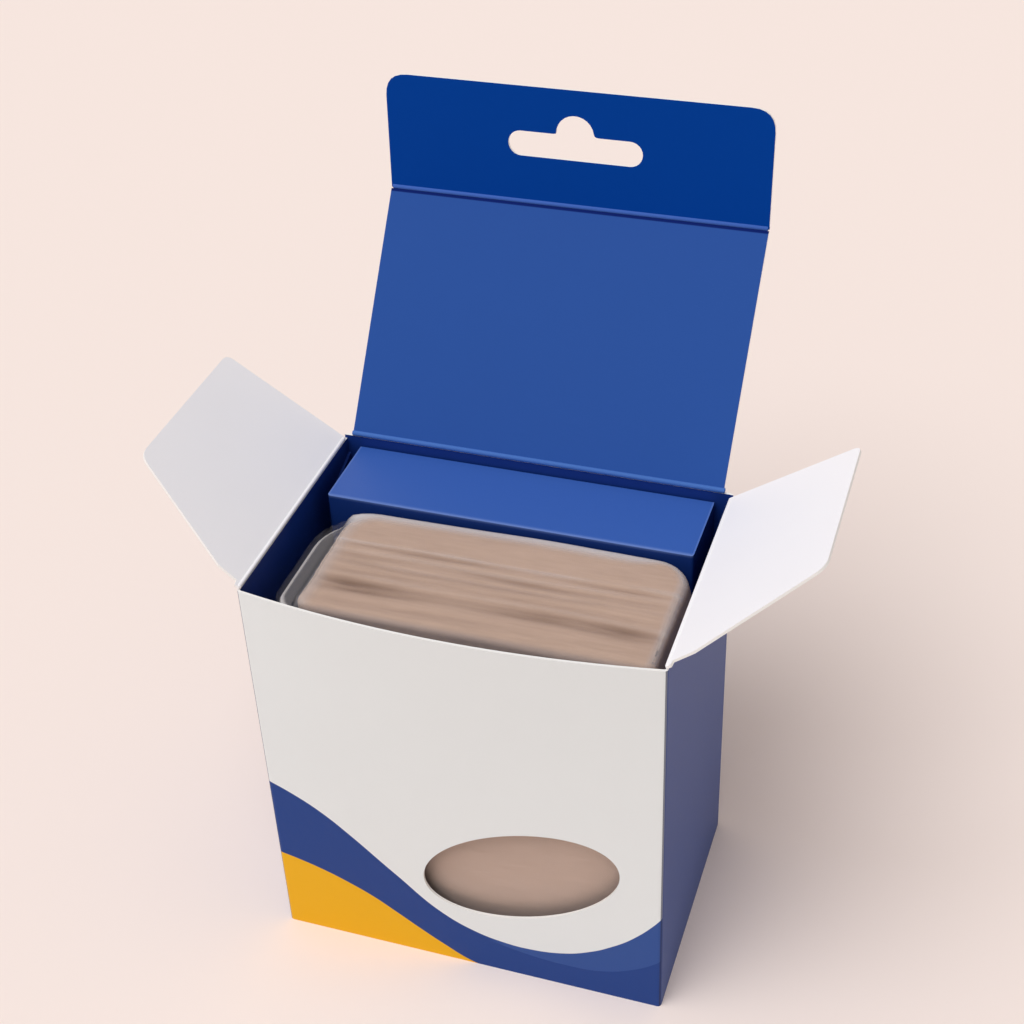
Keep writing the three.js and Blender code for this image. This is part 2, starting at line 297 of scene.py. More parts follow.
@dataclass(frozen=True)
class CartonPrint:
    """The carton's print: waves on a white front, blue sides and back, and inside a blue drawn
    darker than the lid's, as painted shade.

    The three lines are millimetre places along X and Z on the front wall.
    """

    white: Colour = ink(231, 236, 237)
    wave: Colour = ink(20, 61, 134)
    wave_light: Colour = ink(42, 78, 148)
    yellow: Colour = ink(238, 178, 0)
    side: Colour = ink(36, 70, 140)
    fold: Colour = ink(18, 34, 84)
    # Painted shade: the inside is the same blue print as the lid's inner face, drawn darker.
    inside: Colour = ink(22, 52, 126)
    gloss: float = 0.2
    board: Board = Board()
    front_at: FacesAt = FacesAt(0.6, 25.0)
    sides_at: FacesAt = FacesAt(0.3, 47.0)
    back_at: FacesAt = FacesAt(0.5, 30.4)
    rim_at: FacesAt = FacesAt(0.7, 104.5, facing_fade=0.1)
    under_at: FacesAt = FacesAt(0.5, -2.0)
    crisp: float = 0.12
    cut_front: float = 29.9
    cut_side: float = 45.5
    cut_foot: float = 1.2
    cut_facing: float = 0.55
    cut_fade: float = 0.05
    corner_past: float = 46.5
    corner_facing: Point = (0.35, 0.93)
    corner_fade: float = 0.08
    corner_share: float = 0.75
    left: float = -48.0
    width: float = 96.0
    foot: float = -2.0
    tall: float = 60.0
    light_start: float = 7.0
    light_fade: float = 4.0
    front_line: tuple[Point, ...] = (
        (-48, 48.6), (-40, 45.2), (-34.1, 41.6), (-28.4, 36.9), (-17, 26), (-5.5, 15.6),
        (2.5, 11.7), (8.5, 10.3), (15, 9.9), (24, 11.3), (31, 14.4), (35, 17.1), (40.3, 21.7),
        (47.9, 31.6),
    )
    yellow_line: tuple[Point, ...] = (
        (-48, 24.5), (-41.9, 23.2), (-35.8, 21.4), (-29.8, 19), (-23.8, 16), (-17.9, 12.1),
        (-12, 8), (-6.1, 4.2), (-0.1, 0.8), (3.4, -0.3),
    )
    light_line: tuple[Point, ...] = (
        (-48, 0), (-5, 4), (6, 9.3), (10.2, 8.7), (17, 7.6), (24.1, 7.2), (32.2, 7.8),
        (40.3, 10.9), (47.9, 16.8),
    )

    def over(self, s: Shader, x: Socket, z: Socket, points: Sequence[Point]) -> Socket:
        """A mask of what lies over a smooth line on the front wall.

        Args:
            s: the tree that it goes in.
            x: the place along X, in metres.
            z: the place along Z, in metres.
            points: the places that the line passes through.
        Returns:
            The mask.
        """
        across = s.calc("DIVIDE", s.less(x, self.left * MM), self.width * MM)
        made = s.node("ShaderNodeFloatCurve", Value=across)
        curve = made.mapping.curves[0]
        while len(curve.points) < len(points):
            curve.points.new(0.5, 0.5)
        for point, (along, high) in zip(curve.points, points):
            point.location = (along - self.left) / self.width, (high - self.foot) / self.tall
        made.mapping.update()
        line = s.plus(s.times(made.outputs[0], self.tall * MM), self.foot * MM)
        return s.above(z, line, self.crisp * MM)

    def art(self, s: Shader, x: Socket, z: Socket) -> Socket:
        """The front wall's colours: a blue wave with a lighter end, and a yellow one."""
        started = s.above(x, self.light_start * MM, self.light_fade * MM)
        light = s.times(self.over(s, x, z, self.light_line), started)
        colour = s.mix(light, self.wave, self.wave_light)
        colour = s.mix(self.over(s, x, z, self.yellow_line), self.yellow, colour)
        return s.mix(self.over(s, x, z, self.front_line), colour, self.white)

    def cut(self, s: Shader, ahead: Socket, aside: Socket, facing: Socket, z: Socket) -> Socket:
        """A mask of the board's raw thickness around the window and along the front's top.

        Args:
            s: the tree that it goes in.
            ahead: how far a place lies towards the front.
            aside: how far it lies from the middle.
            facing: the normal's part along Y.
            z: the place along Z.
        Returns:
            The mask.
        """
        crisp = self.crisp * MM
        turned = s.rest(s.above(s.size(facing), self.cut_facing, self.cut_fade))
        mask = s.times(s.above(ahead, self.cut_front * MM, crisp), turned)
        mask = s.times(mask, s.rest(s.above(aside, self.cut_side * MM, crisp)))
        return s.times(mask, s.above(z, self.cut_foot * MM, crisp))

    def corners(self, s: Shader, outward: Socket, aside: Socket) -> Socket:
        """A mask of the bends between the walls, where the print is drawn darker."""
        bent = s.between(s.size(outward), *self.corner_facing, self.corner_fade)
        mask = s.times(bent, s.above(aside, self.corner_past * MM, self.crisp * MM))
        return s.times(mask, self.corner_share)

    def dress(self, name: str) -> bpy.types.Material:
        """The carton body's material, which tells its faces apart by place and facing."""
        s = Shader(name)
        x, y, z = s.split(s.place.outputs["Object"])
        nx, ny, nz = s.split(s.place.outputs["Normal"])
        ahead, aside = s.flipped(y), s.size(x)
        outward = s.times(nx, s.calc("SIGN", x))
        front = self.front_at.mask(s, s.flipped(ny), ahead)
        under = self.under_at.mask(s, s.flipped(nz), s.flipped(z))
        raw = s.calc("MAXIMUM", self.rim_at.mask(s, nz, z), self.cut(s, ahead, aside, ny, z))

        colour = s.mix(self.sides_at.mask(s, outward, aside), self.inside, self.side)
        colour = s.mix(self.back_at.mask(s, ny, y), colour, self.side)
        colour = s.mix(front, colour, self.art(s, x, z))
        colour = s.mix(under, colour, self.board.raw)
        colour = self.board.mottled(s, colour)
        colour = s.mix(self.corners(s, outward, aside), colour, self.fold)
        colour = s.mix(raw, colour, self.board.raw)
        return self.board.surface(s, colour, self.board.varnish, self.gloss)


@dataclass(frozen=True)
class SheetPrint:
    """A flat panel of the same sheet, printed on both sides, with raw cut edges.

    Crease is the height of a second fold, under which a dark line of painted shade is drawn, or
    None.
    """

    inner: Colour
    outer: Colour
    facing: Triple
    hinge: Triple
    gloss: float
    crease: float | None = None
    board: Board = Board()
    roughness: float = 0.45
    least_facing: float = 0.3
    facing_fade: float = 0.06
    bead: float = 0.48
    bead_fade: float = 0.1
    crease_shade: Colour = ink(4, 26, 98)
    crease_shade_reach: float = 0.85
    crease_shade_fade: float = 0.2
    crease_shade_share: float = 0.96

    def dress(self, name: str, line: tuple[int, int]) -> bpy.types.Material:
        """The panel's material.

        Args:
            name: the material's name.
            line: the two axes across the fold. The print reaches round the fold's edge.
        Returns:
            The material.
        """
        s = Shader(name)
        parts = s.split(s.place.outputs["Object"])
        across = s.node("ShaderNodeVectorMath")
        across.operation = "DOT_PRODUCT"
        s.feed(across.inputs[0], s.place.outputs["Normal"])
        s.feed(across.inputs[1], self.facing)
        side = across.outputs["Value"]
        printed = s.above(side, self.least_facing, self.facing_fade)
        plain = s.above(s.flipped(side), self.least_facing, self.facing_fade)
        first, second = (s.less(parts[axis], self.hinge[axis]) for axis in line)
        far = s.calc("SQRT", s.plus(s.times(first, first), s.times(second, second)))
        past_fold = s.above(far, self.bead * MM, self.bead_fade * MM)
        raw = s.times(s.rest(s.plus(printed, plain), clamp=True), past_fold)
        colour = self.board.mottled(s, s.mix(printed, self.outer, self.inner))
        colour = s.mix(raw, colour, self.board.raw)
        # Painted shade: a dark line just under the second fold, standing for the shadow in the gap
        # under its bead.
        if self.crease is not None:
            edge = self.crease - self.crease_shade_reach * MM
            crease_shade = s.above(parts[2], edge, self.crease_shade_fade * MM)
            colour = s.mix(s.times(crease_shade, self.crease_shade_share), colour, self.crease_shade)
        return self.board.surface(s, colour, self.roughness, self.gloss)


@dataclass(frozen=True)
class BeadFinish:
    """The bead along a fold, drawn in a paler colour than its panel as painted highlight."""

    colour: Colour
    board: Board = Board()
    roughness: float = 0.6
    gloss: float = 0.1

    def dress(self, name: str) -> bpy.types.Material:
        """The bead's material."""
        s = Shader(name)
        colour = self.board.mottled(s, self.colour)
        return self.board.surface(s, colour, self.roughness, self.gloss)


@dataclass(frozen=True)
class SpacerFinish:
    """The spacer's blue card: painted shade on its walls, a painted highlight along its front fold,
    and paler raw board at its cut ends.
    """

    card: Colour = ink(54, 94, 174)
    shade: Colour = ink(20, 50, 118)
    pale: Colour = ink(120, 150, 215)
    board: Board = Board()
    gloss: float = 0.25
    least_up: float = 0.6
    up_fade: float = 0.3
    fold_highlight_reach: float = 0.9
    fold_share: float = 0.45
    end_reach: float = 0.35
    end_fade: float = 0.2
    end_share: float = 0.3

    def dress(self, name: str, low: Vector, high: Vector) -> bpy.types.Material:
        """The spacer's material.

        Args:
            name: the material's name.
            low: the spacer's lowest corner.
            high: the spacer's highest corner.
        Returns:
            The material.
        """
        s = Shader(name)
        x, y, z = s.split(s.place.outputs["Object"])
        top = s.above(s.split(s.place.outputs["Normal"])[2], self.least_up, self.up_fade)
        reach = self.fold_highlight_reach * MM
        fold = s.times(s.near(y, low.y, reach), s.near(z, high.z, reach))
        end = s.above(s.size(x), high.x - self.end_reach * MM, self.end_fade * MM)
        # Painted shade: the walls take a darker copy of the card's blue.
        colour = self.board.mottled(s, s.mix(top, self.shade, self.card))
        # Painted highlight along the front fold; the cut ends are paler raw board.
        colour = s.mix(s.times(fold, self.fold_share), colour, self.pale)
        colour = s.mix(s.times(s.times(end, top), self.end_share), colour, self.pale)
        return self.board.surface(s, colour, self.board.varnish, self.gloss)


@dataclass(frozen=True)
class KnitFinish:
    """Fine hosiery knit: narrow wales, long strands and a soft sheen, darker in the folds with
    painted shade.
    """

    yarn: Colour = ink(191, 163, 144)
    shade: Colour = ink(104, 76, 58)
    wale_scale: float = 1900.0
    wale_lean: float = 0.4
    course_scale: float = 1520.0
    strand_scale: float = 1500.0
    strand_stretch: Triple = (0.09, 1.0, 0.6)
    cloud_scale: float = 70.0
    cloud_stretch: Triple = (0.35, 1.0, 1.0)
    cloud_fade: float = 0.6
    fold_shade: float = 0.9
    cloud_shade: float = 0.14
    strand_shade: float = 0.3
    stitch_shade: float = 0.01
    stitch_height: float = 0.12
    strand_height: float = 0.9
    depth: float = 0.03
    roughness: float = 0.85
    gloss: float = 0.2
    sheen: float = 0.1
    sheen_roughness: float = 0.5

    def wave(self, s: Shader, place: Socket, scale: float) -> Socket:
        """A wave along a place, with scale turns a metre."""
        return s.calc("SINE", s.times(place, scale * 2 * math.pi))

    def dress(self, name: str) -> bpy.types.Material:
        """The knit's material, which reads the piece's own fold attribute as painted shade in its
        creases.
        """
        s = Shader(name)
        x, y, z = s.split(s.place.outputs["Object"])
        wales = self.wave(s, s.plus(x, s.times(y, self.wale_lean)), self.wale_scale)
        courses = self.wave(s, z, self.course_scale)
        stitches = s.plus(s.times(wales, 0.5), s.times(courses, 0.25))
        strands = s.less(s.grain(self.strand_scale, 3.0, self.strand_stretch), 0.5)
        clouds = s.grain(self.cloud_scale, 4.0, self.cloud_stretch)
        cloud = s.times(s.above(clouds, 0.5, self.cloud_fade), self.cloud_shade)
        # Painted shade: the fold attribute darkens the yarn towards the shade colour in the
        # creases.
        share = s.plus(s.times(s.carried("fold"), self.fold_shade), cloud)
        share = s.plus(share, s.times(strands, self.strand_shade))
        share = s.plus(share, s.times(stitches, self.stitch_shade), clamp=True)
        height = s.plus(s.times(stitches, self.stitch_height), s.times(strands, self.strand_height))
        return s.finish(
            s.mix(share, self.yarn, self.shade), height, self.depth * MM,
            Roughness=self.roughness, Specular_IOR_Level=self.gloss, Sheen_Weight=self.sheen,
            Sheen_Roughness=self.sheen_roughness, Sheen_Tint=self.yarn,
        )


@dataclass(frozen=True)
class FilmFinish:
    """Thin clear film with long soft wrinkles, hazier where it bends and where it is loose; the
    extra haziness at its bends and wrinkles is partly painted highlight.
    """

    tint: Colour = ink(232, 226, 224)
    clear: float = 0.022
    hazy: float = 0.8
    roughness: float = 0.3
    gloss: float = 0.5
    streak_scale: float = 120.0
    streak_stretch: Triple = (0.25, 1.0, 1.0)
    streak_base: float = 0.8
    streak_share: float = 0.4
    depth: float = 0.2

    def dress(self, name: str) -> bpy.types.Material:
        """The film's material, whose opacity follows the piece's own attribute of haziness and
        painted highlight.
        """
        s = Shader(name)
        streaks = s.grain(self.streak_scale, 3.0, self.streak_stretch)
        strength = s.plus(self.streak_base, s.times(streaks, self.streak_share))
        share = s.times(s.carried("haze_and_highlight"), strength, clamp=True)
        alpha = s.plus(self.clear, s.times(share, self.hazy - self.clear))
        return s.finish(
            self.tint, streaks, self.depth * MM,
            Roughness=self.roughness, Specular_IOR_Level=self.gloss, Alpha=alpha,
        )


@dataclass(frozen=True)
class FloorFinish:
    """A pale warm studio floor."""

    tone: Colour = ink(247, 233, 226)
    spot: Colour = (0.8, 0.7, 0.65)
    spot_scale: float = 6.0
    spot_share: float = 0.02

    def dress(self, name: str) -> bpy.types.Material:
        """The floor's material."""
        s = Shader(name)
        share = s.times(s.grain(self.spot_scale, 2.0), self.spot_share)
        colour = s.mix(share, self.tone, self.spot)
        return s.finish(colour, Roughness=0.9, Specular_IOR_Level=0.1)


def object_of(
    mesh: bmesh.types.BMesh, name: str, material: bpy.types.Material, smooth: bool = True,
) -> bpy.types.Object:
    """Turns a bmesh into an object at the origin.

    Args:
        mesh: the finished bmesh, which is freed.
        name: the piece's name.
        material: its material.
        smooth: shades the faces smooth.
    Returns:
        The new object.
    """
    for face in mesh.faces:
        face.smooth = smooth
    data = bpy.data.meshes.new(name)
    mesh.to_mesh(data)
    mesh.free()
    data.materials.append(material)
    made = bpy.data.objects.new(name, data)
    bpy.context.scene.collection.objects.link(made)
    return made


def dress_node(node: str, material: bpy.types.Material) -> bpy.types.Object:
    """Gives a carried-over node its material, and returns it."""
    made = frame["nodes"][node]
    for slot in made.material_slots:
        slot.material = material
    return made


def sliced(mesh: bmesh.types.BMesh, steps: Sequence[float]) -> None:
    """Cuts a mesh by planes across each axis, so that it can be shaped between them.

    Args:
        mesh: the bmesh.
        steps: how far apart the planes across X, Y and Z are, in millimetres.
    """
    for axis, step in enumerate(steps):
        places = [v.co[axis] for v in mesh.verts]
        low, high = min(places), max(places)
        count = max(1, round((high - low) / (step * MM)))
        normal = Vector((0, 0, 0))
        normal[axis] = 1
        for i in range(1, count):
            bmesh.ops.bisect_plane(
                mesh, geom=[*mesh.verts, *mesh.edges, *mesh.faces], dist=TINY,
                plane_co=normal * (low + (high - low) * i / count), plane_no=normal,
            )


def rounded(
    mesh: bmesh.types.BMesh, edges: list[bmesh.types.BMEdge], radius: float, steps: int,
) -> None:
    """Rounds some edges of a mesh by a radius in metres, in so many steps."""
    bmesh.ops.bevel(
        mesh, geom=edges, offset=radius, segments=steps, profile=0.5, affect="EDGES", material=-1,
    )


def soft_block(
    low: Vector, high: Vector, corners: Sequence[float], edge: float, steps: int,
) -> bmesh.types.BMesh:
    """A block with rounded uprights and rounded top and bottom edges.

    Args:
        low: its lowest corner.
        high: its highest corner.
        corners: the uprights' radii: front left, front right, back right, back left.
        edge: the radius of the edges around the top and bottom. All are in millimetres.
        steps: the steps of that radius.
    Returns:
        The block's bmesh.
    """
    mesh = bmesh.new()
    bmesh.ops.create_cube(mesh, size=1.0)
    bmesh.ops.scale(mesh, vec=high - low, verts=mesh.verts)
    bmesh.ops.translate(mesh, vec=(low + high) / 2, verts=mesh.verts)
    places = ((low.x, low.y), (high.x, low.y), (high.x, high.y), (low.x, high.y))
    for radius, (x, y) in zip(corners, places):
        upright = [
            e for e in mesh.edges
            if all(abs(v.co.x - x) + abs(v.co.y - y) < TINY for v in e.verts)
        ]
        rounded(mesh, upright, radius * MM, UPRIGHT_STEPS)
    mesh.normal_update()
    level = {face: abs(face.normal.z) > LEVEL for face in mesh.faces}
    rims = [e for e in mesh.edges if len({level[face] for face in e.link_faces}) == 2]
    rounded(mesh, rims, edge * MM, steps)
    return mesh


@dataclass
class Carton:
    """The carton body, one folded and printed sheet."""

    finish: CartonPrint = CartonPrint()
    node: str = "carton_body"

    def build(self) -> list[bpy.types.Object]:
        """Dresses the carton's node, whose shape stays."""
        return [dress_node(self.node, self.finish.dress("printed_board"))]


class Swing(Enum):
    """The panels that fold, by node, body and joint."""

    LID = ("lid_panel", "lid", "lid_fold")
    TAB = ("hang_tab", "tab", "tab_fold")
    LEFT = ("left_dust_flap", "left_flap", "left_flap_fold")
    RIGHT = ("right_dust_flap", "right_flap", "right_flap_fold")


def fold_of(swing: Swing) -> dict:
    """The record's joint that a panel turns on."""
    return next(joint for joint in frame["joints"] if joint["name"] == swing.value[2])


@dataclass
class FoldingPanel:
    """One panel that swings on a pressed fold, with the fold's bead."""

    swing: Swing
    inner: Colour
    outer: Colour
    bead_colour: Colour
    facing: Triple
    slot: str
    gloss: float = 0.2
    crease: float | None = None
    bead_radius: float = 0.64
    bead_trim: float = 0.25
    bead_sides: int = 20
    bead_rounding: float = 0.4
    bead_steps: int = 3

    def along(self) -> int:
        """The axis that the fold runs along, 0 for X and 1 for Y."""
        return 0 if abs(fold_of(self.swing)["axis"][0]) > 0.5 else 1

    def bead(self) -> bpy.types.Object:
        """A slim round bead along the fold, which closes the gap to the neighbouring panel."""
        node, body, _ = self.swing.value
        axis = self.along()
        low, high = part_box(node)
        start, end = low[axis] + self.bead_trim * MM, high[axis] - self.bead_trim * MM
        radius = self.bead_radius * MM
        mesh = bmesh.new()
        bmesh.ops.create_cone(
            mesh, cap_ends=True, cap_tris=False, segments=self.bead_sides,
            radius1=radius, radius2=radius, depth=end - start,
        )
        rims = [e for e in mesh.edges if abs(e.verts[0].co.z - e.verts[1].co.z) < TINY]
        rounded(mesh, rims, radius * self.bead_rounding, self.bead_steps)
        angle, around = (math.pi / 2, "Y") if axis == 0 else (-math.pi / 2, "X")
        middle = Vector(fold_of(self.swing)["pos_m"])
        middle[axis] = (start + end) / 2
        turn = Matrix.Translation(middle) @ Matrix.Rotation(angle, 4, around)
        bmesh.ops.transform(mesh, matrix=turn, verts=mesh.verts)
        bmesh.ops.recalc_face_normals(mesh, faces=mesh.faces)
        finish = BeadFinish(self.bead_colour)
        made = object_of(mesh, f"{node}_bead", finish.dress(f"{node}_bead_print"))
        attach(made, body)
        return made

    def build(self) -> list[bpy.types.Object]:
        """Dresses the panel and adds its bead."""
        node = self.swing.value[0]
        hinge = tuple(fold_of(self.swing)["pos_m"])
        finish = SheetPrint(self.inner, self.outer, self.facing, hinge, self.gloss, self.crease)
        material = finish.dress(f"{node}_print", (1 - self.along(), 2))
        return [dress_node(node, material), self.bead()]


@dataclass
class Spacer:
    """The folded card spacer that stands behind the bag."""

    finish: SpacerFinish = SpacerFinish()
    node: str = "spacer_insert"

    def build(self) -> list[bpy.types.Object]:
        """Dresses the spacer's node, whose shape stays."""
        return [dress_node(self.node, self.finish.dress("spacer_card", *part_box(self.node)))]


@dataclass
class Bundle:
    """The folded hosiery: upright layers, with soft creases along the top and down the ends.

    Lengths are in millimetres. A crease is its place from the back to the front, 0 to 1, its
    depth, its reach, and how far it sways.
    """

    finish: KnitFinish = KnitFinish()
    node: str = "hosiery_bundle"
    corners: tuple[float, ...] = (4.0, 2.6, 8.0, 8.5)
    edge: float = 2.3
    edge_steps: int = 6
    slices: tuple[float, ...] = (1.2, 0.5, 2.5)
    top_rise: float = 0.6
    left_reach: float = 0.5
    right_reach: float = 1.6
    bulge: float = 1.3
    bulge_drop: float = 8.0
    inside: float = 0.35
    broad_scale: float = 45.0
    broad_swell: float = 0.35
    layer_scales: Point = (30.0, 160.0)
    layer_swell: float = 0.3
    sway_scale: float = 0.03
    sway_share: float = 0.35
    strength_scale: float = 0.045
    strength: float = 0.75
    strength_change: float = 0.9
    back_slope: float = 0.6
    front_slope: float = 1.5
    top_power: float = 1.5
    end_share: float = 0.22
    edge_share: float = 0.35
    edge_width: float = 9.0
    shade_share: float = 0.8
    creases: tuple[tuple[float, float, float, float], ...] = (
        (0.355, 0.4, 0.7, 0.05), (0.45, 0.4, 1.0, 0.09), (0.53, 0.3, 0.8, 0.12),
        (0.61, 0.3, 0.9, 0.10), (0.70, 1.05, 1.5, 0.05), (0.765, 0.4, 0.9, 0.12),
        (0.88, 0.2, 1.1, 0.08),
    )

    def box(self) -> tuple[Vector, Vector]:
        """The bundle's corners: its node's, a little fuller at the top and the ends."""
        low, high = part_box(self.node)
        fuller = Vector((self.right_reach, 0, self.top_rise))
        return low - Vector((self.left_reach, 0, 0)) * MM, high + fuller * MM

    def bulged(self, facing: Vector, drop: float) -> Vector:
        """How the right end swells out under its top edge.

        Args:
            facing: the surface's normal.
            drop: how far the place lies under the top, in millimetres.
        Returns:
            The move, in metres.
        """
        swollen = ramp(facing.x, 0, 1) * ramp(drop, 0, self.bulge_drop)
        return Vector((self.bulge * swollen * MM, 0, 0))

    def crease(self, across: float, along: float, width: float) -> float:
        """How deep the folds are at a place, in millimetres.

        Args:
            across: the place from the back of the bundle to its front, 0 to 1.
            along: the place along X, in millimetres.
            width: the bundle's depth in millimetres.
        Returns:
            The depth.
        """
        total = 0.0
        for i, (middle, depth, reach, sway) in enumerate(self.creases):
            drift = noise.noise(Vector((along * self.sway_scale, i * 7.3, 1.7)))
            change = noise.noise(Vector((along * self.strength_scale, i * 3.1, 9.2)))
            strength = max(0.1, self.strength + self.strength_change * change)
            far = (across - middle - drift * sway * self.sway_share) * width
            side = reach * (self.back_slope if far < 0 else self.front_slope)
            total += depth * strength * math.exp(-((far / side) ** 2))
        return total

    def swell(self, place: Vector) -> float:
        """How far the soft surface stands out from the block, mostly inwards, in millimetres."""
        wide, narrow = self.layer_scales
        broad = noise.noise(place * self.broad_scale) * self.broad_swell
        layers = noise.noise(Vector((place.x * wide, place.y * narrow, 4.0))) * self.layer_swell
        return broad + layers - self.inside

    def shown(self, facing: Vector, end: float) -> float:
        """How much of a crease shows: most on the top, and less at the ends.

        Args:
            facing: the surface's normal.
            end: how far the nearer end is, in millimetres.
        Returns:
            The share.
        """
        turned = max(0.0, facing.z) ** self.top_power + self.end_share * abs(facing.x)
        return turned * (self.edge_share + (1 - self.edge_share) * ramp(end, 1, self.edge_width))

    def build(self) -> list[bpy.types.Object]:
        """Builds the bundle in its node's place."""
        low, high = self.box()
        mesh = soft_block(low, high, self.corners, self.edge, self.edge_steps)
        sliced(mesh, self.slices)
        mesh.normal_update()
        depth = high.y - low.y
        shade = mesh.verts.layers.float.new("fold")
        moves = []
        for vert in mesh.verts:
            facing, place = vert.normal.copy(), vert.co
            end = min(place.x - low.x, high.x - place.x) / MM
            folds = self.crease((high.y - place.y) / depth, place.x / MM, depth / MM)
            folds *= self.shown(facing, end)
            bulge = self.bulged(facing, (high.z - place.z) / MM)
            moves.append(facing * ((self.swell(place) - folds) * MM) + bulge)
            # Painted shade: the crease depth is stored as the fold attribute that darkens the knit.
            vert[shade] = min(1.0, folds * self.shade_share)
        for vert, move in zip(mesh.verts, moves):
            vert.co += move
        made = object_of(mesh, "folded_hosiery", self.finish.dress("fine_knit"))
        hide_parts(self.node)
        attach(made, "carton")
        return [made]


@dataclass(frozen=True)
class HazeAndHighlight:
    """Where the film is hazy, partly as painted highlight, as shares, and as places and widths in
    millimetres.
    """

    band: float = 0.75
    band_inset: float = 0.9
    band_width: float = 4.4
    right_narrower: float = 2.2
    right_from: float = 30.0
    right_width: float = 10.0
    side_share: float = 0.35
    side_from: float = -9.0
    side_width: float = 6.0
    left_width: float = 2.5
    # The left rim and the fine wrinkle lines are partly real haziness and partly painted highlight.
    rim_facing: float = 0.82
    rim_width: float = 0.15
    fine: float = 0.5
    loose: float = 0.08
    front: float = 0.11
    drop: float = 9.0
    drop_width: float = 4.0

    def around(
        self, place: Vector, facing: Vector, inset: float, low: Vector, high: Vector,
    ) -> float:
        """The hazy band around the top's back and ends, partly painted highlight where the film
        rounds over.

        Args:
            place: the place, in millimetres.
            facing: the surface's normal.
            inset: how far the place lies inside the bundle's rounded outline.
            low: the bundle's lowest corner.
            high: the bundle's highest corner.
        Returns:
            The band's strength, 0 to 1.
        """
        narrower = self.right_narrower * ramp(place.x, self.right_from, self.right_width)
        band = 1 - ramp(inset, self.band_inset, self.band_width - narrower)
        behind = ramp(place.y - high.y, self.side_from, self.side_width)
        band *= ramp(facing.z, 0.3, 0.3) * (self.side_share + (1 - self.side_share) * behind)
        return band * ramp(place.x, low.x, self.left_width)

    def level(self, facing: Vector, band: float, loose: float, fine: float, drop: float) -> float:
        """The film's haziness and painted highlight at a place.

        Args:
            facing: the surface's normal.
            band: the strength of the band there.
            loose: how loose the film is there, 0 to 1.
            fine: the strength of its fine wrinkles.
            drop: how far the place lies under the bag's top, in millimetres.
        Returns:
            The haziness and painted highlight, 0 to 1.
        """
        rim = max(0.0, 1.0 - abs(facing.z - self.rim_facing) / self.rim_width)
        rim *= ramp(-facing.x, 0.1, 0.2) * loose
        flat = ramp(facing.z, 0.8, 0.15) * loose
        top = band * (1 - loose) * self.band + rim + fine * self.fine + flat * self.loose
        high_up = ramp(-drop, -self.drop, self.drop_width)
        return min(1.0, max(self.front * ramp(-facing.y, 0.6, 0.3), top * high_up))


